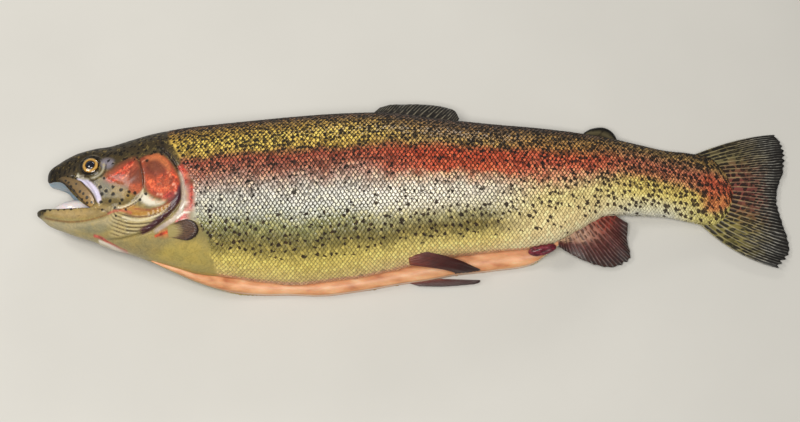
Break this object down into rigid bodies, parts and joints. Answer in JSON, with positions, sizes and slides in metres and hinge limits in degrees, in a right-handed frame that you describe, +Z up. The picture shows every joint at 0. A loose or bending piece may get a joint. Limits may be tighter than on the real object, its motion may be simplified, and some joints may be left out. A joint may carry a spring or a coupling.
{
  "type": "rainbow trout",
  "caption": "Life-size still model of a whole rainbow trout lying on its right side, mouth open, belly slit from throat to vent, fins folded.",
  "frame": {"origin": "middle of the footprint, on the surface that the fish lies on", "axes": "+X towards the tail, +Y towards the back, +Z up out of the left flank"},
  "size_m": [0.5492, 0.1408, 0.0596],
  "materials": {
    "head_skin": "wet olive skin with small black spots",
    "gill_cover_skin": "wet skin, red-orange over pale bone",
    "jaw_skin": "wet pale cream skin",
    "mouth_lining": "wet, pale lilac white",
    "flank_skin": "wet scaled skin, olive back, silver flank, pale belly, black spots",
    "belly_lining": "wet pink flesh",
    "fin": "wet membrane over bony rays",
    "tail_fin": "wet olive membrane over bony rays, black spots",
    "eye": "clear gloss over a gold iris and blue-black pupil"
  },
  "bodies": {
    "root": {"head": "head_skin", "lower_jaw": "jaw_skin", "tongue": "mouth_lining", "maxilla_left": "head_skin", "gill_cover_left": "gill_cover_skin", "gill_rays_left": "jaw_skin", "eye_left": "eye", "maxilla_right": "head_skin", "gill_cover_right": "gill_cover_skin", "gill_rays_right": "jaw_skin", "eye_right": "eye", "trunk_front": "flank_skin", "trunk_middle": "flank_skin", "trunk_rear": "flank_skin", "tail_stalk": "flank_skin", "dorsal_fin": "fin", "adipose_fin": "fin", "anal_fin": "fin", "caudal_fin": "tail_fin", "pectoral_fin_left": "fin", "pectoral_fin_right": "fin", "pelvic_fin_left": "fin", "pelvic_fin_right": "fin", "vent": "belly_lining"}
  },
  "joints": []
}
